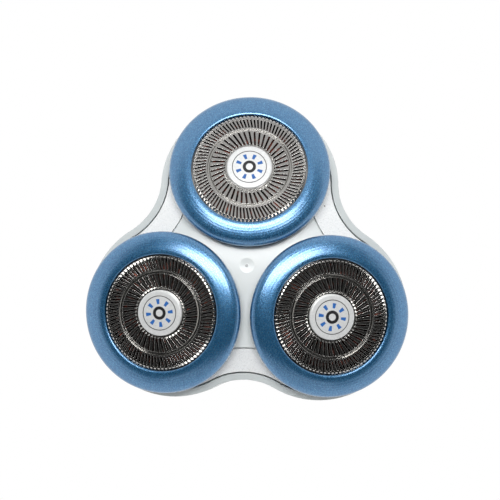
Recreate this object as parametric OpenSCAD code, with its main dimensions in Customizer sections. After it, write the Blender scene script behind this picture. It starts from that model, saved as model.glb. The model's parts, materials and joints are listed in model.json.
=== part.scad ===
// Rotary shaver head with three leaning, flexing heads on a gear base
// Frame: +Z up, origin at the centre of the neck's foot on the drive axis, +Y toward head 1

/* [Rings] */
// Width of a blue ring from its inner lip to its rim
ring_w = 4.45; // [4.2:0.05:6]
// Gap between neighbouring rings where they come nearest
ring_gap = 1.35; // [1.1:0.05:2.5]
// Height of the rims' centres above the neck's foot
rim_z = 22; // [21.5:0.5:27]
// Lean of each head away from the drive axis, degrees
lean = 14.5; // [12.5:0.5:16]
// Distance of the ring's crown from its inner lip
crown_in = 1.45; // [1:0.05:2.2]
// Height of the ring's crown above its rim
crown_h = 1.7; // [1.3:0.1:2.5]
// Height of the ring's inner lip above its rim
lip_h = 1.15; // [0.9:0.05:1.25]
// Thickness of the ring's overhanging rim
rim_t = 0.7; // [0.4:0.05:0.9]
// Width of the rim that overhangs the opening in the frame
rim_overlap = 0.6; // [0.4:0.05:1]
// Depth of the ring's skirt below its rim
skirt_depth = 6.2; // [6:0.1:6.6]
// Wall of the ring's skirt
skirt_t = 0.9; // [0.8:0.05:1]

/* [Caps] */
// Outer radius of a slotted cap
cap_r = 11.2; // [10:0.1:13]
// Gap between the cap and the ring's lip
cap_gap = 0.3; // [0.2:0.05:0.4]
// Height of the cap's two slotted tracks above the ring's rim
track_h = 1.5; // [1.4:0.05:2]
// Thickness of the cap's sheet
cap_t = 0.5; // [0.35:0.05:0.55]
// Width of the outer slotted track
outer_track_w = 2.65; // [2.2:0.05:3]
// Width of the groove between the tracks
groove_w = 0.8; // [0.7:0.05:1.1]
// Width of the inner slotted track
inner_track_w = 2.7; // [2.2:0.05:3]
// Depth of the groove between the tracks, and of the centre recess
groove_depth = 0.35; // [0.2:0.05:0.4]
// Slots in the outer track
outer_slots = 90; // [30:1:100]
// Slots in the inner track
inner_slots = 45; // [20:1:50]
// Width of a slot in the outer track
outer_slot_w = 0.35; // [0.2:0.01:0.38]
// Width of a slot in the inner track
inner_slot_w = 0.4; // [0.2:0.01:0.44]
// Slant of the slots from the radius, degrees
slot_slant = 12; // [0:1:15]
// Gap between the centre badge and the inner track
badge_gap = 0.55; // [0.5:0.05:0.9]
// Thickness of the centre badge
badge_t = 0.55; // [0.4:0.05:0.8]

/* [Cutters] */
// Blades in each of a cutter's two circles
blades = 12; // [6:1:14]
// Thickness of a blade
blade_t = 0.45; // [0.3:0.05:0.6]
// Rake of a blade, degrees
blade_rake = 30; // [0:5:35]
// Thickness of the cutter's disc
cutter_t = 0.6; // [0.5:0.05:0.8]
// Running gap between blades and cap
blade_gap = 0.1; // [0.1:0.01:0.15]
// Outer radius of the cutter's hub
hub_r = 3.2; // [3:0.05:3.4]
// Thickness of the slotted plate in the hub
plate_t = 0.8; // [0.6:0.05:1]
// Depth of that plate's middle below the ring's rim
plate_depth = 1.8; // [1.7:0.05:1.9]

/* [Flexing joints] */
// Distance of each tilt hinge from the drive axis
hinge_r = 10; // [9:0.1:11]
// Depth of the tilt and rock pins below the ring's rim
pin_depth = 5.2; // [5:0.1:5.4]
// Radius of a tilt pin
tilt_pin_r = 0.9; // [0.7:0.05:0.95]
// Radius of a rock pin
rock_pin_r = 0.8; // [0.6:0.05:0.85]
// Radial play of a pin in its hole
pin_play = 0.05; // [0.02:0.01:0.1]
// Radial wall of the carrier ring
carrier_t = 1.1; // [1:0.05:1.2]
// Height of the carrier ring
carrier_h = 2.2; // [2:0.1:2.4]
// Gap between skirt and carrier, for rocking
rock_gap = 0.5; // [0.4:0.05:0.6]
// Gap between carrier and the opening's wall, for tilting
tilt_gap = 0.4; // [0.35:0.05:0.6]

/* [Frame] */
// Radius of the dome that the frame's top follows
dome_r = 68; // [60:1:90]
// Height of the dome above the rims' centres
dome_rise = 1.5; // [1:0.1:1.6]
// Thickness of the centre plate and bridge panels
panel_t = 1; // [0.7:0.05:1.2]
// Thickness of the frame under them
frame_t = 0.9; // [0.7:0.05:1.2]
// Width of a seam between visible pieces
seam = 0.25; // [0.12:0.01:0.3]
// Length of a bridge panel from its seam to the parting line
panel_len = 4.75; // [3:0.05:5]
// Width of the base's rim band outside the parting line
rim_band = 1.35; // [1.2:0.05:1.8]
// Distance from the hinge posts out to the waist
waist_margin = 4.45; // [4.2:0.05:5]
// Reach of the frame's corners beyond the heads' centres
corner_out = 7.5; // [6.5:0.05:7.8]
// Thickness of a hinge post along its pin
post_t = 1.6; // [1.2:0.05:1.8]
// Wall of a hinge post round its pin
post_wall = 0.8; // [0.6:0.05:1]
// Width of the tongues that guide the frame in the base
tongue_w = 4.8; // [3:0.1:6]
// Thickness of the tongues
tongue_t = 1; // [0.8:0.05:1.2]
// Gap between a tongue and the base's wall
tongue_gap = 0.3; // [0.1:0.05:0.4]
// Height of the tongues' lower ends above the base's floor
tongue_up = 6; // [5:0.1:7]
// Radius of the dimple in the centre plate
dimple_r = 1.6; // [1:0.1:2]
// Depth of the dimple
dimple_depth = 0.1; // [0.08:0.01:0.2]

/* [Base] */
// Outer radius of the neck
neck_r = 14; // [12.8:0.1:16]
// Radius of the handle's socket in the neck
socket_r = 11; // [9:0.1:12]
// Depth of the handle's socket
socket_len = 5.6; // [4:0.1:7]
// Wall of the base
wall = 1.6; // [1.2:0.05:1.8]
// Width of the ledge that the frame rests on
ledge_w = 1; // [0.8:0.05:1.2]
// Rim of a lobe beyond the ring's opening
lobe_margin = 2.4; // [2.2:0.05:2.8]
// Height over which the base's underside curves up
bowl_h = 9; // [8:0.1:10]

/* [Gears] */
// Teeth of the drive gear
drive_teeth = 34; // [32:1:36]
// Teeth of each head's gear
head_teeth = 28; // [26:1:30]
// Width of the gears' faces
gear_w = 2.5; // [1.8:0.1:2.8]
// Backlash between teeth
backlash = 0.15; // [0.08:0.01:0.2]
// Gap under and over the gears
gear_gap = 0.3; // [0.2:0.05:0.5]
// Radius of the drive gear's hub
drive_hub_r = 3.3; // [3.2:0.05:4.5]
// Radius of the socket in the drive gear's hub
drive_socket_r = 2.5; // [1.8:0.05:2.6]
// Radius of the pins that the head gears turn on
gear_pin_r = 1.5; // [1:0.05:1.6]
// Thickness of the gear cover
cover_t = 1; // [0.8:0.1:1.4]
// Radius of a cover screw's shank
screw_r = 0.8; // [0.6:0.05:1]

/* [Spindles] */
// Outer radius of a gear's tower
tower_r = 3.1; // [3:0.05:3.4]
// Height of a gear's tower
tower_h = 4.5; // [4:0.1:5]
// Radius of a spindle's sliding foot
foot_r = 2.2; // [1.9:0.05:2.3]
// Height of a spindle's sliding foot
foot_h = 3.6; // [3:0.1:4]
// Length of a spindle's spring at rest
spring_len = 2.2; // [2:0.1:2.4]
// Wire radius of the spring
wire_r = 0.2; // [0.14:0.01:0.25]
// Radius of a spindle's neck
spindle_r = 1.3; // [1:0.05:1.4]
// Width of a spindle's flat tip
tip_w = 3; // [2.4:0.1:3.2]
// Thickness of a spindle's flat tip
tip_t = 1; // [0.7:0.05:1.1]
// Play of the tip in the hub's slot, on each side
tip_play = 0.5; // [0.45:0.05:0.55]

/* [Hidden] */
$fn = 96;

heads = 3;
over = 0.5;
eps = 0.01;
opening_low = 4;
white = [0.92, 0.93, 0.93];
pearl = [0.84, 0.86, 0.86];
blue = [0.36, 0.56, 0.72];
steel = [0.72, 0.73, 0.74];
grey = [0.45, 0.47, 0.49];
black = [0.12, 0.12, 0.13];

// Radii of a head, from the cap outward and inward
lip_r = cap_r + cap_gap;
crown_r = lip_r + crown_in;
ring_r = lip_r + ring_w;
outer_track_r = cap_r - outer_track_w;
inner_track_r = outer_track_r - groove_w;
track_bore_r = inner_track_r - inner_track_w;
badge_r = track_bore_r - badge_gap;

// Heads: the rings set each other's distance, all else follows from it
ring_reach = sqrt(pow(cos(60) * cos(lean), 2) + pow(sin(60), 2));
head_r = (2 * ring_r * ring_reach + ring_gap) / sqrt(3);
opening_r = ring_r - rim_overlap;
carrier_out = opening_r - tilt_gap;
carrier_in = carrier_out - carrier_t;
skirt_out = carrier_in - rock_gap;
skirt_in = skirt_out - skirt_t;
seat_gap = 0.1;
ledge_h = -0.8;
flange_r = skirt_in - 0.3;
flange_t = 0.6;
flange_h = ledge_h - seat_gap;

// Retainer and its bayonet groove in the skirt
groove_in = 0.45;
lug_t = 1;
lug_h = 1 - pin_depth + rock_pin_r - 0.1;
collar_gap = 0.4;
collar_t = 1.1;

// Cutter heights below the cap's tracks
blade_top = track_h - cap_t - blade_gap;
disc_top = blade_top - 1.3;
disc_low = disc_top - cutter_t;
hub_low = -plate_depth - plate_t / 2 - 1.2;
hub_wall = 0.8;

// Gear axes pass through the middle of each hub's slotted plate
gear_r = head_r - plate_depth * sin(lean);
gear_module = 2 * gear_r / (drive_teeth + head_teeth);
drive_pitch_r = gear_module * drive_teeth / 2;
head_pitch_r = gear_module * head_teeth / 2;
head_tip_r = head_pitch_r + gear_module;
floor_z = socket_len + wall;
gear_z = floor_z + gear_gap;
gear_top = gear_z + gear_w;
cover_z = gear_top + 0.5;
boss_r = screw_r + 1.4;
boss_at = gear_r - 1.1;
plate_z = rim_z - plate_depth * cos(lean);
pocket_z = gear_top;
foot_z = pocket_z + spring_len;
tip_top = plate_z + 0.75;
shoulder_z = plate_z - plate_t / 2 - 1.2;
key_w = 0.8;

// Outline: round lobes, joined by waist curves that run tangent into them
post_from = sqrt(pow(opening_r, 2) - pow(hinge_x(), 2)) + 0.15;
post_out = post_from + post_t;
post_reach = sqrt(pow(hinge_r, 2) + pow(post_out, 2));
waist_d = post_reach + waist_margin;
corner_r = head_r + corner_out;
lobe_r = opening_r + lobe_margin;
lobe_c = head_r - lobe_margin;
waist_r = (pow(waist_d, 2) + pow(lobe_c, 2) - pow(lobe_r, 2) - waist_d * lobe_c)
    / (2 * lobe_r + lobe_c - 2 * waist_d);
waist_c = waist_d + waist_r;
blend = 0.02;
reach = lobe_c + lobe_r;
dome_z = rim_z + dome_rise;
under_z = floor_z - wall;
case_r = gear_r + head_tip_r + 0.4;

// Distance of the tilt hinge from the head's centre, along the head's own radial axis
function hinge_x() = (hinge_r - head_r + pin_depth * sin(lean)) / cos(lean);

function ellipse(cx, cz, rx, rz, from, to, steps) =
    [for (k = [0:steps]) let (a = from + (to - from) * k / steps)
        [cx + rx * cos(a), cz + rz * sin(a)]];

function involute(rb, t) = [rb * (cos(t) + t * PI / 180 * sin(t)), rb * (sin(t) - t * PI / 180 * cos(t))];

// Right flank of a tooth from root to tip, with its middle line on the x axis
function flank(m, teeth) =
    let (
        pitch = m * teeth / 2, base = pitch * cos(20), tip = pitch + m,
        root = pitch - 1.2 * m,
        roll = sqrt(pow(pitch / base, 2) - 1) * 180 / PI,
        roll_tip = sqrt(pow(tip / base, 2) - 1) * 180 / PI,
        p = involute(base, roll),
        half = 90 / teeth - backlash / 2 / pitch * 180 / PI / 2 + atan2(p[1], p[0])
    )
    concat(
        [[root * cos(-half - 0.6), root * sin(-half - 0.6)]],
        [for (k = [0:4]) let (q = involute(base, roll_tip * k / 4))
            [q[0] * cos(-half) - q[1] * sin(-half), q[0] * sin(-half) + q[1] * cos(-half)]]
    );

function tooth(m, teeth) =
    let (f = flank(m, teeth))
    concat(f, [for (k = [len(f) - 1:-1:0]) [f[k][0], -f[k][1]]]);

function gear_points(m, teeth) =
    [for (k = [0:teeth - 1], p = tooth(m, teeth)) let (a = 360 * k / teeth)
        [p[0] * cos(a) - p[1] * sin(a), p[0] * sin(a) + p[1] * cos(a)]];

// Turn of a head's gear that meshes with the drive gear's tooth on the x axis
function mesh_turn(at) = at + 180 + 180 / head_teeth + at * drive_teeth / head_teeth;

function head_at(i) = 90 + 120 * (i - 1);

module at_head(i) {
    rotate([0, 0, head_at(i)])
        translate([head_r, 0, rim_z])
            rotate([0, lean, 0])
                children();
}

module at_gear(i) {
    rotate([0, 0, head_at(i)])
        translate([gear_r, 0, 0])
            children();
}

module at_waists() {
    for (i = [1:heads])
        rotate([0, 0, head_at(i) - 60])
            children();
}

module tube(r_out, r_in, low, high) {
    translate([0, 0, low])
        difference() {
            cylinder(r = r_out, h = high - low);
            translate([0, 0, -over])
                cylinder(r = r_in, h = high - low + 2 * over);
        }
}

// Plan outlines
module waist_hollows(extra) {
    at_waists()
        translate([waist_c, 0])
            circle(r = waist_r + extra + blend);
}

module lobes(inset) {
    for (i = [1:heads])
        rotate(head_at(i))
            translate([lobe_c, 0])
                circle(r = lobe_r - inset);
}

// The curves run into the lobes on the sides of the hexagon through their centres
module outline(inset) {
    difference() {
        union() {
            lobes(inset);
            polygon([for (k = [0:2 * heads - 1]) let (r = k % 2 == 0 ? lobe_c : waist_c)
                [r * cos(head_at(1) + 60 * k), r * sin(head_at(1) + 60 * k)]]);
        }
        waist_hollows(inset);
    }
}

module frame_outline(inset) {
    intersection() {
        outline(rim_band + inset);
        circle(r = corner_r - inset);
    }
}

module dome_ball(depth) {
    translate([0, 0, dome_z - dome_r])
        sphere(r = dome_r - depth, $fn = 200);
}

module head_openings(r) {
    for (i = [1:heads])
        at_head(i)
            translate([0, 0, -skirt_depth - opening_low])
                cylinder(r = r, h = skirt_depth + opening_low + ring_r);
}

// Base
module bowl(inset) {
    low = under_z + inset;
    edge = case_r + (wall - inset) / 3;
    wide = reach + 0.6 - inset - edge;
    side = [for (k = [0:8]) let (a = 90 * k / 8) [edge + wide * sin(a), low + bowl_h * (1 - cos(a))]];
    rotate_extrude()
        polygon(concat([[0, low]], side, [[edge + wide, 2 * rim_z], [0, 2 * rim_z]]));
}

module base_inside() {
    intersection() {
        bowl(wall);
        union() {
            translate([0, 0, floor_z])
                linear_extrude(rim_z)
                    union() {
                        frame_outline(ledge_w);
                        lobes(wall);
                    }
            head_openings(opening_r);
        }
    }
}

module frame_seat() {
    difference() {
        translate([0, 0, floor_z])
            linear_extrude(rim_z)
                frame_outline(0);
        dome_ball(panel_t + frame_t);
    }
}

module base_shell() {
    color(white)
        difference() {
            union() {
                difference() {
                    intersection() {
                        translate([0, 0, under_z])
                            linear_extrude(rim_z)
                                outline(0);
                        bowl(0);
                        dome_ball(0);
                    }
                    base_inside();
                    frame_seat();
                }
                cylinder(r = neck_r, h = under_z + eps);
                translate([0, 0, under_z - 1.4])
                    cylinder(r1 = neck_r, r2 = neck_r + 2, h = 1.4 + eps);
                for (i = [1:heads])
                    at_gear(i)
                        translate([0, 0, floor_z - eps])
                            cylinder(r = gear_pin_r, h = gear_w - 0.4);
                at_waists()
                    translate([boss_at, 0, floor_z - eps])
                        cylinder(r = boss_r, h = cover_z - floor_z + eps);
            }
            translate([0, 0, -over])
                cylinder(r = socket_r, h = socket_len + over);
            translate([0, 0, -eps])
                cylinder(r1 = socket_r + 0.4, r2 = socket_r, h = 0.4);
            cylinder(r = drive_hub_r + pin_play, h = rim_z);
            at_waists()
                translate([boss_at, 0, floor_z + 0.3])
                    cylinder(r = screw_r, h = cover_z);
        }
}

module gear_cover() {
    color(grey)
        difference() {
            union() {
                translate([0, 0, cover_z])
                    linear_extrude(cover_t)
                        union() {
                            circle(r = drive_pitch_r + 1.8);
                            for (i = [1:heads])
                                rotate(head_at(i))
                                    translate([gear_r, 0])
                                        circle(r = head_tip_r - 0.3);
                            at_waists()
                                translate([boss_at, 0])
                                    circle(r = boss_r);
                            at_waists()
                                translate([boss_at / 2, -boss_r])
                                    square([boss_at / 2, 2 * boss_r]);
                        }
                for (i = [1:heads])
                    at_gear(i)
                        tube(tower_r + 1, tower_r + 0.3, cover_z, cover_z + cover_t + 0.8);
            }
            for (i = [1:heads])
                at_gear(i)
                    cylinder(r = tower_r + 0.3, h = rim_z);
            at_waists()
                translate([boss_at, 0, 0])
                    cylinder(r = screw_r, h = rim_z);
        }
}

module cover_screw(i) {
    head_screw_r = 2 * screw_r;
    color(steel)
        rotate([0, 0, head_at(i) - 60])
            translate([boss_at, 0, 0])
                difference() {
                    union() {
                        translate([0, 0, floor_z + 0.6])
                            cylinder(r = screw_r, h = cover_z + cover_t - floor_z - 0.6 + eps);
                        translate([0, 0, cover_z + cover_t])
                            cylinder(r = head_screw_r, h = screw_r);
                    }
                    for (a = [0, 90])
                        rotate([0, 0, a])
                            translate([-screw_r, -screw_r / 5, cover_z + cover_t + screw_r / 2])
                                cube([2 * screw_r, screw_r / 2.5, screw_r]);
                }
}

// Gear train
module drive_gear() {
    color(black)
        difference() {
            union() {
                translate([0, 0, gear_z])
                    linear_extrude(gear_w)
                        polygon(gear_points(gear_module, drive_teeth));
                translate([0, 0, socket_len + 0.2])
                    cylinder(r = drive_hub_r, h = cover_z - 0.1 - socket_len - 0.2);
            }
            translate([0, 0, socket_len + 0.2 - over])
                cylinder(r = drive_socket_r, h = gear_top - 0.4 - socket_len - 0.2 + over);
            for (a = [0, 180])
                rotate([0, 0, a])
                    translate([0, -0.5, socket_len])
                        cube([drive_socket_r + 0.35, 1, gear_w]);
            for (k = [0:5])
                rotate([0, 0, 60 * k])
                    translate([(drive_hub_r + drive_pitch_r) / 2, 0, gear_z - over])
                        cylinder(r = 1.6, h = gear_w + 2 * over);
        }
}

module head_gear(i) {
    color(grey)
        at_gear(i)
            difference() {
                union() {
                    rotate([0, 0, mesh_turn(head_at(i)) - head_at(i)])
                        translate([0, 0, gear_z])
                            linear_extrude(gear_w)
                                polygon(gear_points(gear_module, head_teeth));
                    translate([0, 0, floor_z + 0.1])
                        cylinder(r = tower_r, h = gear_top + tower_h - floor_z - 0.1);
                }
                translate([0, 0, floor_z])
                    cylinder(r = gear_pin_r + pin_play, h = gear_w - 0.3);
                translate([0, 0, pocket_z])
                    cylinder(r = foot_r + 0.1, h = tower_h + over);
                translate([-foot_r - 0.5, -key_w / 2 - 0.1, pocket_z])
                    cube([2 * foot_r + 1, key_w + 0.2, tower_h + over]);
            }
}

module spindle(i) {
    color(steel)
        at_gear(i) {
            translate([0, 0, foot_z])
                cylinder(r = foot_r, h = foot_h);
            translate([-foot_r - 0.35, -key_w / 2, foot_z])
                cube([2 * foot_r + 0.7, key_w, tower_h - spring_len - 0.3]);
            translate([0, 0, foot_z + foot_h - eps])
                cylinder(r = spindle_r, h = shoulder_z - foot_z - foot_h + eps);
            intersection() {
                translate([-tip_t / 2, -tip_w / 2, shoulder_z - 0.4])
                    cube([tip_t, tip_w, tip_top - shoulder_z + 0.4]);
                translate([0, 0, shoulder_z - 0.4])
                    cylinder(r = tip_w / 2, h = tip_top - shoulder_z + 0.4);
            }
        }
}

// A wire with a square-ish section wound on a helix, as one closed skin
module coil(r, wire, height, turns) {
    steps = turns * 14;
    sides = 6;
    ring_at = function (k) [for (s = [0:sides - 1])
        let (a = 360 * turns * k / steps, b = 360 * s / sides,
            z = wire + (height - 2 * wire) * k / steps)
        [(r + wire * cos(b)) * cos(a), (r + wire * cos(b)) * sin(a), z + wire * sin(b)]];
    points = [for (k = [0:steps], p = ring_at(k)) p];
    walls = [for (k = [0:steps - 1], s = [0:sides - 1]) let (n = (s + 1) % sides)
        [k * sides + s, (k + 1) * sides + s, (k + 1) * sides + n, k * sides + n]];
    first = [for (s = [0:sides - 1]) s];
    last = [for (s = [sides - 1:-1:0]) steps * sides + s];
    polyhedron(points, concat(walls, [first, last]), convexity = 4);
}

module spindle_spring(i) {
    color(steel)
        at_gear(i)
            translate([0, 0, pocket_z])
                coil(foot_r - wire_r - 0.2, wire_r, spring_len, 3);
}

// Frame
module hinge_posts(i) {
    half = tilt_pin_r + post_wall;
    at_head(i)
        for (side = [-1, 1])
            translate([hinge_x() - half, side * (post_from + post_t / 2) - post_t / 2, -pin_depth - half])
                cube([2 * half, post_t, pin_depth + half]);
}

module frame_tongues() {
    at_waists()
        translate([waist_d - rim_band - ledge_w - tongue_gap - tongue_t, -tongue_w / 2, floor_z + tongue_up])
            cube([tongue_t, tongue_w, rim_z - floor_z]);
}

module top_frame() {
    color(pearl)
        difference() {
            union() {
                difference() {
                    intersection() {
                        translate([0, 0, floor_z])
                            linear_extrude(rim_z)
                                frame_outline(seam);
                        dome_ball(0);
                    }
                    dome_ball(panel_t + frame_t);
                    difference() {
                        translate([0, 0, floor_z])
                            linear_extrude(rim_z)
                                difference() {
                                    circle(r = corner_r);
                                    waist_hollows(rim_band + panel_len);
                                }
                        dome_ball(panel_t);
                    }
                }
                intersection() {
                    union() {
                        for (i = [1:heads])
                            hinge_posts(i);
                        frame_tongues();
                    }
                    dome_ball(panel_t + frame_t / 2);
                }
            }
            head_openings(opening_r);
            for (i = [1:heads])
                at_head(i)
                    translate([hinge_x(), 0, -pin_depth])
                        rotate([90, 0, 0])
                            cylinder(r = tilt_pin_r + pin_play, h = 2 * post_out + 1, center = true);
        }
}

module centre_plate() {
    dimple_ball = (pow(dimple_r, 2) + pow(dimple_depth, 2)) / 2 / dimple_depth;
    color(white)
        difference() {
            union() {
                difference() {
                    intersection() {
                        translate([0, 0, floor_z])
                            linear_extrude(rim_z)
                                difference() {
                                    circle(r = corner_r - seam);
                                    waist_hollows(rim_band + panel_len + seam);
                                }
                        dome_ball(0);
                    }
                    dome_ball(panel_t);
                    translate([0, 0, dome_z + dimple_ball - dimple_depth])
                        sphere(r = dimple_ball);
                }
                translate([0, 0, dome_z - panel_t / 2])
                    cylinder(r = dimple_r / 5, h = panel_t / 2 - dimple_depth / 2);
            }
            head_openings(opening_r);
        }
}

// Heads, each in its own leaning frame with the rim's centre at the origin
module carrier(i) {
    low = -pin_depth - carrier_h / 2;
    pin_from = carrier_in - 1.2;
    color(grey)
        at_head(i)
            difference() {
                union() {
                    tube(carrier_out, carrier_in, low, low + carrier_h);
                    translate([hinge_x(), 0, -pin_depth])
                        rotate([90, 0, 0])
                            cylinder(r = tilt_pin_r, h = 2 * post_out - 0.4, center = true);
                }
                translate([0, 0, low - over])
                    cylinder(r = carrier_in, h = carrier_h + 2 * over);
                translate([0, 0, -pin_depth])
                    rotate([0, 90, 0])
                        cylinder(r = rock_pin_r + pin_play, h = 2 * carrier_out + 2, center = true);
            }
}

module ring(i) {
    outer = ellipse(crown_r, 0, ring_r - crown_r, crown_h, 0, 90, 9);
    inner = ellipse(crown_r, lip_h, crown_r - lip_r, crown_h - lip_h, 100, 180, 6);
    lug_low = lug_h - lug_t;
    section = concat(outer, inner, [
        [lip_r, ledge_h], [skirt_in, ledge_h], [skirt_in, lug_h + 0.1],
        [skirt_in + groove_in, lug_h + 0.1], [skirt_in + groove_in, lug_low],
        [skirt_in, lug_low], [skirt_in, -skirt_depth], [skirt_out, -skirt_depth],
        [skirt_out, -rim_t - 0.6], [skirt_out + 0.6, -rim_t], [ring_r - 0.4, -rim_t],
        [ring_r, -rim_t / 2]
    ]);
    color(blue)
        at_head(i)
            difference() {
                union() {
                    rotate_extrude()
                        polygon(section);
                    for (side = [0, 180])
                        rotate([0, 0, side])
                            translate([skirt_in + 0.5, 0, -pin_depth])
                                rotate([0, 90, 0])
                                    cylinder(r = rock_pin_r, h = carrier_out - 0.2 - skirt_in - 0.5);
                }
                for (k = [0:2])
                    rotate([0, 0, 120 * k + 90])
                        translate([0, -1.7, -skirt_depth - over])
                            cube([skirt_in + groove_in, 3.4, skirt_depth + lug_low + over + 0.2]);
            }
}

module slots(count, from, to, wide, low) {
    for (k = [0:count - 1])
        rotate([0, 0, 360 * k / count])
            translate([(from + to) / 2, 0, low])
                rotate([0, 0, slot_slant])
                    translate([(from - to) / 2, -wide / 2, 0])
                        cube([to - from, wide, 2]);
}

module cap(i) {
    low = flange_h - flange_t;
    dip = track_h - groove_depth;
    under = track_h - cap_t;
    section = [
        [0, dip], [track_bore_r - 0.2, dip], [track_bore_r - 0.1, track_h - 0.1],
        [track_bore_r, track_h], [inner_track_r, track_h], [inner_track_r + 0.2, dip],
        [outer_track_r - 0.35, dip], [outer_track_r - 0.2, track_h], [cap_r - 0.3, track_h],
        [cap_r - 0.09, track_h - 0.09], [cap_r, track_h - 0.3], [cap_r, flange_h],
        [flange_r, flange_h], [flange_r, low], [cap_r - cap_t, low], [cap_r - cap_t, under],
        [outer_track_r - 0.1, under], [outer_track_r - 0.25, under - groove_depth],
        [inner_track_r + 0.1, under - groove_depth], [inner_track_r - 0.05, under],
        [track_bore_r + 0.15, under], [track_bore_r + 0.05, under - groove_depth],
        [0, under - groove_depth]
    ];
    color(steel)
        at_head(i)
            difference() {
                rotate_extrude()
                    polygon(section);
                slots(outer_slots, outer_track_r, cap_r + cap_gap, outer_slot_w, under - 0.15);
                slots(inner_slots, track_bore_r - 0.3, inner_track_r, inner_slot_w, under - 0.15);
            }
}

module badge(i) {
    low = track_h - groove_depth;
    edge = 0.3;
    rim = ellipse(badge_r - edge, low + badge_t - edge, edge, edge, 0, 90, 5);
    color(pearl)
        at_head(i)
            rotate_extrude()
                polygon(concat([[0, low], [badge_r, low]], rim, [[0, low + badge_t + 0.08]]));
}

module retainer(i) {
    low = lug_h - lug_t;
    color(grey)
        at_head(i)
            difference() {
                union() {
                    tube(skirt_in - 0.15, skirt_in - 2, low, lug_h);
                    tube(hub_r + collar_gap + collar_t, hub_r + collar_gap, low, hub_low + 0.7);
                    for (k = [0:2])
                        rotate([0, 0, 120 * k + 30]) {
                            translate([hub_r + collar_gap + collar_t - 0.4, -1, low])
                                cube([skirt_in - hub_r - collar_gap - collar_t - 0.8, 2, lug_t]);
                            intersection() {
                                translate([skirt_in - 1, -1.5, low])
                                    cube([3, 3, lug_t]);
                                cylinder(r = skirt_in + groove_in - 0.15, h = 40, center = true);
                            }
                        }
                }
                for (k = [0:2])
                    rotate([0, 0, 120 * k + 90])
                        translate([skirt_in - 1.1, 0, low - over])
                            cylinder(r = 0.5, h = lug_t + 2 * over);
            }
}

module blade_ring(from, to) {
    lean_by = (blade_top - disc_top) * tan(blade_rake);
    for (k = [0:blades - 1])
        rotate([0, 0, 360 * k / blades])
            translate([from, -blade_t / 2, disc_top - 0.1])
                rotate([90, 0, 90])
                    linear_extrude(to - from)
                        polygon([[0, 0], [blade_t, 0], [blade_t + lean_by, blade_top - disc_top + 0.1],
                            [lean_by, blade_top - disc_top + 0.1]]);
}

module cutter(i) {
    outer_to = cap_r - cap_t - 0.35;
    color(steel)
        at_head(i)
            difference() {
                union() {
                    tube(outer_to - 0.1, hub_r, disc_low, disc_top);
                    blade_ring(outer_track_r + 0.1, outer_to);
                    blade_ring(track_bore_r + 0.3, inner_track_r - 0.25);
                }
                for (k = [0:5])
                    rotate([0, 0, 60 * k + 15])
                        translate([(outer_track_r + inner_track_r) / 2, 0, disc_low - over])
                            cylinder(r = 0.45, h = cutter_t + over + 0.2);
            }
}

module cutter_hub(i) {
    bore = hub_r - hub_wall;
    slot = [tip_t + 2 * tip_play, tip_w + 2 * tip_play];
    color(black)
        at_head(i)
            difference() {
                union() {
                    translate([0, 0, hub_low])
                        cylinder(r = hub_r, h = disc_top - hub_low);
                    translate([0, 0, disc_low - 0.5])
                        cylinder(r = hub_r + 1.2, h = 0.5);
                }
                translate([0, 0, hub_low - over])
                    cylinder(r = bore, h = -plate_depth - plate_t / 2 - hub_low + over);
                translate([0, 0, -plate_depth + plate_t / 2])
                    cylinder(r = bore, h = 3);
                translate([-slot[0] / 2, -slot[1] / 2, hub_low])
                    cube([slot[0], slot[1], 6]);
            }
}

base_shell();
gear_cover();
cover_screw(1);  // cover_screw_1
cover_screw(2);  // cover_screw_2
cover_screw(3);  // cover_screw_3
drive_gear();
head_gear(1);  // head_gear_1
head_gear(2);  // head_gear_2
head_gear(3);  // head_gear_3
spindle(1);  // spindle_1
spindle(2);  // spindle_2
spindle(3);  // spindle_3
spindle_spring(1);  // spindle_spring_1
spindle_spring(2);  // spindle_spring_2
spindle_spring(3);  // spindle_spring_3
top_frame();
centre_plate();
carrier(1);  // carrier_1
carrier(2);  // carrier_2
carrier(3);  // carrier_3
ring(1);  // ring_1
ring(2);  // ring_2
ring(3);  // ring_3
cap(1);  // cap_1
cap(2);  // cap_2
cap(3);  // cap_3
badge(1);  // badge_1
badge(2);  // badge_2
badge(3);  // badge_3
retainer(1);  // retainer_1
retainer(2);  // retainer_2
retainer(3);  // retainer_3
cutter(1);  // cutter_1
cutter(2);  // cutter_2
cutter(3);  // cutter_3
cutter_hub(1);  // cutter_hub_1
cutter_hub(2);  // cutter_hub_2
cutter_hub(3);  // cutter_hub_3
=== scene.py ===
"""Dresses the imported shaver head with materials, badge prints, studio light and the photograph's camera."""
import json
import math

import bmesh
import bpy
from mathutils import Matrix, Vector


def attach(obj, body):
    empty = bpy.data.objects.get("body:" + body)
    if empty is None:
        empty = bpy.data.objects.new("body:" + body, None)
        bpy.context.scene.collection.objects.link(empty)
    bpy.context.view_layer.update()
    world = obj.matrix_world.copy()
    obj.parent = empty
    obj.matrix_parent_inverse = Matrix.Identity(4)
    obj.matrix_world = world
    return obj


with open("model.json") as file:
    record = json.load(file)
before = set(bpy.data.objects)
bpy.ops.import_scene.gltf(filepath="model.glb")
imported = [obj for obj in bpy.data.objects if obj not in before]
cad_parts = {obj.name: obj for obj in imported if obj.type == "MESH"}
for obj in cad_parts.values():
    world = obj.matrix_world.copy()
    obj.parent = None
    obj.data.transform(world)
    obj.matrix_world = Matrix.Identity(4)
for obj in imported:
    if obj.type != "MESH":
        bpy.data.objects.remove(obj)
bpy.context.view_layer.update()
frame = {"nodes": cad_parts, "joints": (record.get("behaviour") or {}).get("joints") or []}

MM = 0.001
HEADS = (1, 2, 3)
scene = bpy.context.scene
joints = {joint["name"]: joint for joint in frame["joints"]}

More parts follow.
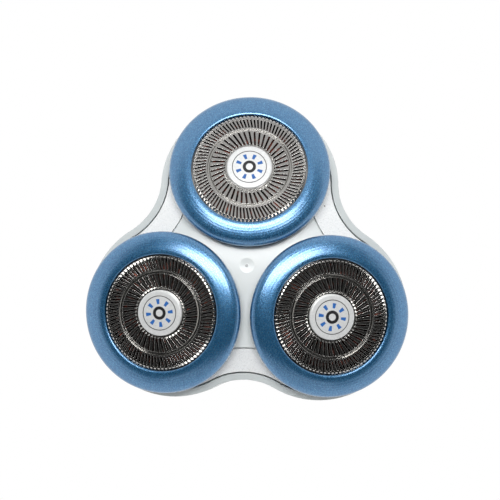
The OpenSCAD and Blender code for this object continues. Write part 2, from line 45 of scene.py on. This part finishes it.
# Camera, as found from the rings' and caps' outlines in the photograph
CAMERA_TARGET = Vector((0.0, 0.0, 0.022))
CAMERA_DISTANCE = 0.25
CAMERA_SOUTH = math.radians(4.55)
CAMERA_EAST = math.radians(1.86)
CAMERA_ROLL = math.radians(1.45)
CAMERA_LENS_MM = 91.4
CAMERA_SHIFT = (0.0057, 0.032)

# Badge: radii and heights in millimetres above the rim plane
BADGE_EDGE_R = 4.2
BADGE_EDGE_H = 1.70
BADGE_CROWN = 0.08
PRINT_LIFT = 0.012
PRINT_T = 0.01
DOT_RING = (0.7, 1.3)
FINE_RING = (3.28, 3.42)
DASHES = 8
DASH = (1.75, 2.75)
DASH_HALF_DEGREES = 7.5

# Ring: the crown falls from its lip out to this radius, in millimetres, by so much for each millimetre squared
CROWN_END_R = 15.1
CROWN_FALL = 0.058

# Small marks, in metres: the moulding gate in the plate's dimple and a speck of dirt on one panel
GATE_R = 0.00028
SPECK_AT = (0.015022, 0.012400, 0.020650)
SPECK_R = 0.00015


def head_matrix(i):
    """The head's own frame: origin at the rim's centre, Z along the head's axis, X outward."""
    spin = joints[f"cutter_spin_{i}"]
    origin = Vector(spin["pos_m"])
    up = Vector(spin["axis"]).normalized()
    outward = Vector((up.x, up.y, 0.0)).normalized()
    across = up.cross(outward).normalized()
    along = across.cross(up)
    turn = Matrix((along, across, up)).transposed().to_4x4()
    return Matrix.Translation(origin) @ turn


# Material helpers
class Shader:
    """A new material with a Principled shader and short ways to add and join nodes."""

    def __init__(self, name):
        self.material = bpy.data.materials.new(name)
        self.material.use_nodes = True
        self.tree = self.material.node_tree
        self.nodes = self.tree.nodes
        self.surface = self.nodes["Principled BSDF"]
        self.coords = self.add("ShaderNodeTexCoord").outputs["Object"]

    def add(self, kind, **settings):
        node = self.nodes.new(kind)
        for key, value in settings.items():
            setattr(node, key, value)
        return node

    def join(self, source, target):
        self.tree.links.new(source, target)

    def set(self, **sockets):
        for name, value in sockets.items():
            self.surface.inputs[name.replace("_", " ")].default_value = value

    def noise(self, size_mm, detail=3.0, vector=None):
        node = self.add("ShaderNodeTexNoise")
        node.inputs["Scale"].default_value = 1.0 / (size_mm * MM)
        node.inputs["Detail"].default_value = detail
        self.join(vector or self.coords, node.inputs["Vector"])
        return node.outputs["Fac"]

    def ramp(self, value, stops):
        node = self.add("ShaderNodeValToRGB")
        elements = node.color_ramp.elements
        while len(elements) < len(stops):
            elements.new(0.5)
        for element, (place, colour) in zip(elements, stops):
            element.position = place
            element.color = (*colour, 1.0)
        self.join(value, node.inputs["Fac"])
        return node.outputs["Color"]

    def spread(self, value, low, high):
        node = self.add("ShaderNodeMapRange")
        node.inputs["To Min"].default_value = low
        node.inputs["To Max"].default_value = high
        self.join(value, node.inputs["Value"])
        return node.outputs["Result"]

    def math(self, operation, a, b=None):
        node = self.add("ShaderNodeMath", operation=operation)
        for socket, value in zip(node.inputs, (a, b)):
            if value is None:
                continue
            if isinstance(value, (int, float)):
                socket.default_value = value
            else:
                self.join(value, socket)
        return node.outputs["Value"]

    def bump(self, height, depth_mm, strength=1.0):
        node = self.add("ShaderNodeBump")
        node.inputs["Strength"].default_value = strength
        node.inputs["Distance"].default_value = depth_mm * MM
        self.join(height, node.inputs["Height"])
        self.join(node.outputs["Normal"], self.surface.inputs["Normal"])
        return node

    def marked(self, tint, mark, colour):
        """The tint as base colour, and another colour where the mark is 1."""
        mix = self.add("ShaderNodeMix", data_type="RGBA")
        self.join(mark, mix.inputs["Factor"])
        self.join(tint, mix.inputs["A"])
        mix.inputs["B"].default_value = (*colour, 1.0)
        self.join(mix.outputs["Result"], self.surface.inputs["Base Color"])

    def rounded(self, radius_mm, node=None):
        """Rounds the edges in the shading, as burnished or moulded edges are, before any bump."""
        bevel = self.add("ShaderNodeBevel", samples=10)
        bevel.inputs["Radius"].default_value = radius_mm * MM
        target = node.inputs["Normal"] if node else self.surface.inputs["Normal"]
        self.join(bevel.outputs["Normal"], target)
        return bevel

    def local(self, i):
        """Coordinates in the frame of head i, in millimetres."""
        inverse = head_matrix(i).inverted()
        node = self.add("ShaderNodeMapping", vector_type="POINT")
        node.inputs["Scale"].default_value = (1000.0, 1000.0, 1000.0)
        node.inputs["Location"].default_value = inverse.translation * 1000.0
        node.inputs["Rotation"].default_value = inverse.to_euler("XYZ")
        self.join(self.coords, node.inputs["Vector"])
        return node.outputs["Vector"]

    def radius(self, vector):
        """Distance from the Z axis of the given coordinates."""
        split = self.add("ShaderNodeSeparateXYZ")
        self.join(vector, split.inputs["Vector"])
        squares = [self.math("POWER", split.outputs[k], 2.0) for k in ("X", "Y")]
        return self.math("SQRT", self.math("ADD", squares[0], squares[1]))


def white_plastic(name, dark, light, edge_mm, coat=0.3):
    """Glossy moulded plastic with a faint swell of the mould and softly rounded edges."""
    shader = Shader(name)
    tint = shader.ramp(shader.noise(9.0, 2.0), [(0.3, dark), (0.7, light)])
    shader.join(tint, shader.surface.inputs["Base Color"])
    shader.join(shader.spread(shader.noise(1.4), 0.2, 0.3), shader.surface.inputs["Roughness"])
    shader.set(Coat_Weight=coat, Coat_Roughness=0.1, IOR=1.49)
    bump = shader.bump(shader.noise(0.6, 4.0), 0.004, 0.4)
    shader.rounded(edge_mm, bump)
    return shader, tint


def plate_plastic():
    """White plastic of the centre plate, with a grey gate mark in its dimple."""
    shader, tint = white_plastic("white_gloss_plastic", (0.80, 0.84, 0.83), (0.87, 0.90, 0.89), 0.12, 0.1)
    mark = shader.math("LESS_THAN", shader.radius(shader.coords), GATE_R)
    shader.marked(tint, mark, (0.52, 0.52, 0.53))
    return shader.material


def pearl_plastic():
    """Pearl white plastic with fine flakes that catch the light."""
    shader = Shader("pearl_flake_plastic")
    flakes = shader.add("ShaderNodeTexVoronoi", feature="F1")
    flakes.inputs["Scale"].default_value = 1.0 / (0.13 * MM)
    shader.join(shader.coords, flakes.inputs["Vector"])
    split = shader.add("ShaderNodeSeparateColor")
    shader.join(flakes.outputs["Color"], split.inputs["Color"])
    stops = [(0.0, (0.86, 0.88, 0.88)), (0.75, (0.92, 0.94, 0.94)), (1.0, (0.98, 0.98, 0.98))]
    away = shader.add("ShaderNodeVectorMath", operation="DISTANCE")
    shader.join(shader.coords, away.inputs[0])
    away.inputs[1].default_value = SPECK_AT
    speck = shader.math("LESS_THAN", away.outputs["Value"], SPECK_R)
    shader.marked(shader.ramp(split.outputs["Red"], stops), speck, (0.20, 0.18, 0.16))
    shader.join(shader.spread(split.outputs["Green"], 0.25, 0.45), shader.surface.inputs["Roughness"])
    shader.join(shader.spread(split.outputs["Blue"], 0.0, 0.15), shader.surface.inputs["Metallic"])
    shader.set(Coat_Weight=0.4, Coat_Roughness=0.12)
    swell = shader.bump(shader.noise(0.45, 2.0), 0.02, 0.5)
    shader.rounded(0.12, swell)
    flake = shader.bump(split.outputs["Green"], 0.003, 0.4)
    shader.join(swell.outputs["Normal"], flake.inputs["Normal"])
    return shader.material


def blue_metal(i):
    """Satin metallic blue, a fine flake under a soft clear coat, on a crown that falls away from the cap."""
    shader = Shader(f"satin_blue_metal_{i}")
    flakes = shader.add("ShaderNodeTexVoronoi", feature="F1")
    flakes.inputs["Scale"].default_value = 1.0 / (0.11 * MM)
    shader.join(shader.coords, flakes.inputs["Vector"])
    split = shader.add("ShaderNodeSeparateColor")
    shader.join(flakes.outputs["Color"], split.inputs["Color"])
    stops = [(0.0, (0.007, 0.112, 0.28)), (0.6, (0.02, 0.168, 0.37)), (1.0, (0.085, 0.285, 0.50))]
    shader.join(shader.ramp(split.outputs["Red"], stops), shader.surface.inputs["Base Color"])
    shader.join(shader.spread(split.outputs["Green"], 0.23, 0.37), shader.surface.inputs["Roughness"])
    shader.set(Metallic=0.74, Coat_Weight=1.0, Coat_Roughness=0.22, Coat_IOR=1.85)
    inward = shader.math("SUBTRACT", CROWN_END_R, shader.radius(shader.local(i)))
    fall = shader.math("POWER", shader.math("MAXIMUM", inward, 0.0), 2.0)
    crown = shader.bump(shader.math("MULTIPLY", fall, CROWN_FALL), 1.0)
    shader.rounded(0.1, crown)
    flake = shader.bump(split.outputs["Blue"], 0.003, 0.35)
    shader.join(crown.outputs["Normal"], flake.inputs["Normal"])
    shader.join(crown.outputs["Normal"], shader.surface.inputs["Coat Normal"])
    return shader.material


def cap_steel(i):
    """Bright sheet steel, ground in rings round the head's axis, its slot edges burnished round."""
    shader = Shader(f"ground_steel_{i}")
    local = shader.local(i)
    radius = shader.radius(local)
    rings = shader.add("ShaderNodeCombineXYZ")
    shader.join(radius, rings.inputs["X"])
    lines = shader.add("ShaderNodeTexNoise")
    lines.inputs["Scale"].default_value = 14.0
    lines.inputs["Detail"].default_value = 4.0
    shader.join(rings.outputs["Vector"], lines.inputs["Vector"])
    tint = shader.ramp(lines.outputs["Fac"], [(0.3, (0.48, 0.47, 0.45)), (0.7, (0.67, 0.66, 0.64))])
    shader.join(tint, shader.surface.inputs["Base Color"])
    shader.join(shader.spread(lines.outputs["Fac"], 0.06, 0.18), shader.surface.inputs["Roughness"])
    shader.set(Metallic=1.0)
    bump = shader.bump(lines.outputs["Fac"], 0.002, 0.4)
    shader.rounded(0.05, bump)
    return shader.material


def badge_metal():
    """Satin silver disc, lightly brushed."""
    shader = Shader("satin_silver")
    grain = shader.noise(0.35, 3.0)
    shader.join(shader.ramp(grain, [(0.3, (0.70, 0.71, 0.71)), (0.7, (0.80, 0.81, 0.81))]), shader.surface.inputs["Base Color"])
    shader.join(shader.spread(shader.noise(0.9), 0.3, 0.42), shader.surface.inputs["Roughness"])
    shader.set(Metallic=0.35)
    bump = shader.bump(grain, 0.002, 0.3)
    shader.rounded(0.1, bump)
    return shader.material


def cutter_metal_painted_shade():
    """Ground tool steel with brown and straw tints, its base painted almost black as painted shade seen down the
    cap's slots.
    """
    shader = Shader("cutter_steel")
    # painted shade: the near-black stops darken the cutter to stand in for the shade inside the slots; the brown
    # stops are the steel's tints
    tint = shader.ramp(shader.noise(1.6, 3.0), [(0.42, (0.022, 0.02, 0.02)), (0.58, (0.07, 0.035, 0.03)), (0.72, (0.34, 0.08, 0.05))])
    shader.join(tint, shader.surface.inputs["Base Color"])
    shader.join(shader.spread(shader.noise(0.4), 0.25, 0.5), shader.surface.inputs["Roughness"])
    shader.set(Metallic=0.9)
    shader.bump(shader.noise(0.1), 0.004, 0.4)
    return shader.material


def bright_steel():
    """Bright steel of screws, spindles and springs."""
    shader = Shader("bright_steel")
    grain = shader.noise(0.25, 3.0)
    shader.join(shader.ramp(grain, [(0.3, (0.5, 0.5, 0.5)), (0.7, (0.66, 0.66, 0.65))]), shader.surface.inputs["Base Color"])
    shader.join(shader.spread(grain, 0.2, 0.36), shader.surface.inputs["Roughness"])
    shader.set(Metallic=1.0)
    shader.bump(grain, 0.003, 0.3)
    return shader.material


def moulded_plastic(name, dark, light):
    """Matte engineering plastic with a fine spark-eroded grain."""
    shader = Shader(name)
    grain = shader.noise(0.3, 4.0)
    shader.join(shader.ramp(grain, [(0.3, dark), (0.7, light)]), shader.surface.inputs["Base Color"])
    shader.join(shader.spread(grain, 0.42, 0.6), shader.surface.inputs["Roughness"])
    shader.bump(grain, 0.01, 0.4)
    return shader.material


def print_ink(name, dark, light):
    """Printed ink, slightly glossy and a little uneven."""
    shader = Shader(name)
    grain = shader.noise(0.2, 3.0)
    shader.join(shader.ramp(grain, [(0.3, dark), (0.7, light)]), shader.surface.inputs["Base Color"])
    shader.join(shader.spread(grain, 0.25, 0.4), shader.surface.inputs["Roughness"])
    return shader.material


def dress(node, material):
    """Gives a CAD node one material on all its faces."""
    piece = frame["nodes"][node]
    slots = piece.material_slots
    if not slots:
        piece.data.materials.append(material)
    for slot in slots:
        slot.link = "OBJECT"
        slot.material = material


def dress_nodes():
    # painted shade: the shell's white plastic is given grey tones, darker than the plate, standing in for the
    # shade on its steep rim band
    shell, _ = white_plastic("shell_white_plastic_painted_shade", (0.58, 0.62, 0.62), (0.64, 0.68, 0.68), 0.3)
    pearl = pearl_plastic()
    badge, cutter, bright = badge_metal(), cutter_metal_painted_shade(), bright_steel()
    grey = moulded_plastic("grey_plastic", (0.24, 0.25, 0.26), (0.32, 0.33, 0.34))
    black = moulded_plastic("black_plastic", (0.012, 0.012, 0.014), (0.03, 0.03, 0.034))
    dress("base_shell", shell.material)
    dress("centre_plate", plate_plastic())
    dress("top_frame", pearl)
    dress("gear_cover", grey)
    dress("drive_gear", black)
    for i in HEADS:
        dress(f"ring_{i}", blue_metal(i))
        dress(f"cap_{i}", cap_steel(i))
        dress(f"badge_{i}", badge)
        dress(f"cutter_{i}", cutter)
        dress(f"cutter_hub_{i}", black)
        for kind in ("head_gear", "carrier", "retainer"):
            dress(f"{kind}_{i}", grey)
        for kind in ("spindle", "spindle_spring", "cover_screw"):
            dress(f"{kind}_{i}", bright)


# Badge prints
def badge_height(r):
    return BADGE_EDGE_H + BADGE_CROWN * (1.0 - r / BADGE_EDGE_R)


def add_patch(mesh, inner, outer, start, end, steps):
    """A thin closed strip of ink between two radii and two angles, on the badge's crown."""
    rows = []
    for k in range(steps + 1):
        angle = start + (end - start) * k / steps
        corners = []
        for r in (inner, outer):
            for lift in (PRINT_LIFT + PRINT_T, PRINT_LIFT):
                corners.append(mesh.verts.new((r * math.cos(angle), r * math.sin(angle), badge_height(r) + lift)))
        rows.append(corners)
    closed = abs(end - start) > 2 * math.pi - 1e-6
    for k in range(steps):
        a, b = rows[k], rows[(k + 1) % steps if closed else k + 1]
        for p, q in ((0, 2), (2, 3), (3, 1), (1, 0)):
            mesh.faces.new((a[p], a[q], b[q], b[p]))
    if not closed:
        for row in (rows[0], rows[-1]):
            mesh.faces.new((row[0], row[1], row[3], row[2]))


def print_piece(name, i, patches, material):
    mesh = bmesh.new()
    for patch in patches:
        add_patch(mesh, *patch)
    loose = [v for v in mesh.verts if not v.link_faces]
    bmesh.ops.delete(mesh, geom=loose, context="VERTS")
    bmesh.ops.recalc_face_normals(mesh, faces=mesh.faces)
    bmesh.ops.scale(mesh, vec=(MM, MM, MM), verts=mesh.verts)
    bmesh.ops.transform(mesh, matrix=head_matrix(i), verts=mesh.verts)
    data = bpy.data.meshes.new(name)
    mesh.to_mesh(data)
    mesh.free()
    data.materials.append(material)
    piece = bpy.data.objects.new(name, data)
    scene.collection.objects.link(piece)
    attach(piece, f"cap_{i}")
    return piece


def badge_prints():
    black = print_ink("black_ink", (0.008, 0.008, 0.01), (0.02, 0.02, 0.022))
    blue = print_ink("blue_ink", (0.015, 0.10, 0.36), (0.03, 0.16, 0.48))
    turn = 2 * math.pi
    half = math.radians(DASH_HALF_DEGREES)
    for i in HEADS:
        circles = [(*DOT_RING, 0.0, turn, 96), (*FINE_RING, 0.0, turn, 128)]
        print_piece(f"badge_circles_{i}", i, circles, black)
        dashes = []
        for k in range(DASHES):
            middle = turn * (k + 0.5) / DASHES
            dashes.append((*DASH, middle - half, middle + half, 6))
        print_piece(f"badge_dashes_{i}", i, dashes, blue)


# Studio: a tent of soft light with a dark mouth round the camera
TENT_MOUTH_TILT = math.radians(-6.0)
TENT_STOPS = [(0.45, 1.0), (0.57, 0.5), (0.66, 0.04), (1.0, 0.01)]
TENT_STRENGTH = 1.05


def camera_or(nodes, links, *others):
    """1 for camera rays and for the other kinds of ray named, 0 for the rest."""
    path = nodes.new("ShaderNodeLightPath")
    total = path.outputs["Is Camera Ray"]
    for name in others:
        either = nodes.new("ShaderNodeMath")
        either.operation = "MAXIMUM"
        links.new(total, either.inputs[0])
        links.new(path.outputs[name], either.inputs[1])
        total = either.outputs["Value"]
    return total


def make_floor():
    """A pale floor, white to the camera and in reflections, clear from below, shadowed for all else."""
    bpy.ops.mesh.primitive_plane_add(size=3.0, location=(0.0, 0.0, -0.0001))
    floor = bpy.context.object
    floor.name = "floor"
    material = bpy.data.materials.new("floor_white")
    material.use_nodes = True
    nodes, links = material.node_tree.nodes, material.node_tree.links
    surface = nodes["Principled BSDF"]
    surface.inputs["Base Color"].default_value = (0.6, 0.6, 0.61, 1.0)
    surface.inputs["Roughness"].default_value = 0.9
    glow = nodes.new("ShaderNodeEmission")
    glow.inputs["Strength"].default_value = 1.0
    mix = nodes.new("ShaderNodeMixShader")
    links.new(camera_or(nodes, links, "Is Glossy Ray", "Is Transmission Ray"), mix.inputs["Fac"])
    links.new(surface.outputs["BSDF"], mix.inputs[1])
    links.new(glow.outputs["Emission"], mix.inputs[2])
    below = nodes.new("ShaderNodeMixShader")
    links.new(nodes.new("ShaderNodeNewGeometry").outputs["Backfacing"], below.inputs["Fac"])
    links.new(mix.outputs["Shader"], below.inputs[1])
    links.new(nodes.new("ShaderNodeBsdfTransparent").outputs["BSDF"], below.inputs[2])
    links.new(below.outputs["Shader"], nodes["Material Output"].inputs["Surface"])
    floor.data.materials.append(material)


def make_world():
    """White to the camera; to the object a white tent with a dark mouth overhead."""
    world = bpy.data.worlds.new("studio")
    scene.world = world
    world.use_nodes = True
    nodes, links = world.node_tree.nodes, world.node_tree.links
    coords = nodes.new("ShaderNodeTexCoord")
    toward = nodes.new("ShaderNodeVectorMath")
    toward.operation = "DOT_PRODUCT"
    toward.inputs[1].default_value = (0.0, math.sin(TENT_MOUTH_TILT), math.cos(TENT_MOUTH_TILT))
    links.new(coords.outputs["Generated"], toward.inputs[0])
    ramp = nodes.new("ShaderNodeValToRGB")
    elements = ramp.color_ramp.elements
    while len(elements) < len(TENT_STOPS):
        elements.new(0.5)
    for element, (place, level) in zip(elements, TENT_STOPS):
        element.position = place
        element.color = (level, level, level, 1.0)
    links.new(toward.outputs["Value"], ramp.inputs["Fac"])
    shade = nodes["Background"]
    links.new(ramp.outputs["Color"], shade.inputs["Color"])
    shade.inputs["Strength"].default_value = TENT_STRENGTH
    white = nodes.new("ShaderNodeBackground")
    white.inputs["Strength"].default_value = 1.0
    mix = nodes.new("ShaderNodeMixShader")
    links.new(camera_or(nodes, links), mix.inputs["Fac"])
    links.new(shade.outputs["Background"], mix.inputs[1])
    links.new(white.outputs["Background"], mix.inputs[2])
    links.new(mix.outputs["Shader"], nodes["World Output"].inputs["Surface"])


def area_light(name, azimuth, elevation, distance, size, power):
    """A soft box at a direction from the object; azimuth 0 is +X and 90 is +Y."""
    a, e = math.radians(azimuth), math.radians(elevation)
    toward = Vector((math.cos(e) * math.cos(a), math.cos(e) * math.sin(a), math.sin(e)))
    data = bpy.data.lights.new(name, "AREA")
    data.shape = "RECTANGLE"
    data.size, data.size_y = size
    data.energy = power
    lamp = bpy.data.objects.new(name, data)
    lamp.location = CAMERA_TARGET + toward * distance
    lamp.rotation_euler = toward.to_track_quat("Z", "Y").to_euler()
    scene.collection.objects.link(lamp)
    return lamp


def make_lights():
    area_light("key", 90, 75, 0.8, (0.62, 0.26), 4.9)
    area_light("fill", 90, 50, 0.8, (0.8, 0.36), 0.45)
    area_light("front", 270, 40, 0.8, (0.8, 0.3), 0.5)


def make_camera():
    data = bpy.data.cameras.new("camera")
    data.lens = CAMERA_LENS_MM
    data.sensor_width = 36.0
    data.shift_x, data.shift_y = CAMERA_SHIFT
    data.clip_start = 0.01
    toward = Vector((
        math.sin(CAMERA_EAST),
        -math.sin(CAMERA_SOUTH) * math.cos(CAMERA_EAST),
        math.cos(CAMERA_SOUTH) * math.cos(CAMERA_EAST),
    ))
    right = Vector((0.0, 1.0, 0.0)).cross(toward).normalized()
    up = toward.cross(right)
    across = math.cos(CAMERA_ROLL) * right + math.sin(CAMERA_ROLL) * up
    above = -math.sin(CAMERA_ROLL) * right + math.cos(CAMERA_ROLL) * up
    place = Matrix((across, above, toward)).transposed().to_4x4()
    place.translation = CAMERA_TARGET + toward * CAMERA_DISTANCE
    camera = bpy.data.objects.new("camera", data)
    camera.matrix_world = place
    scene.collection.objects.link(camera)
    scene.camera = camera


dress_nodes()
badge_prints()
make_floor()
make_world()
make_lights()
make_camera()
scene.view_settings.view_transform = "Standard"
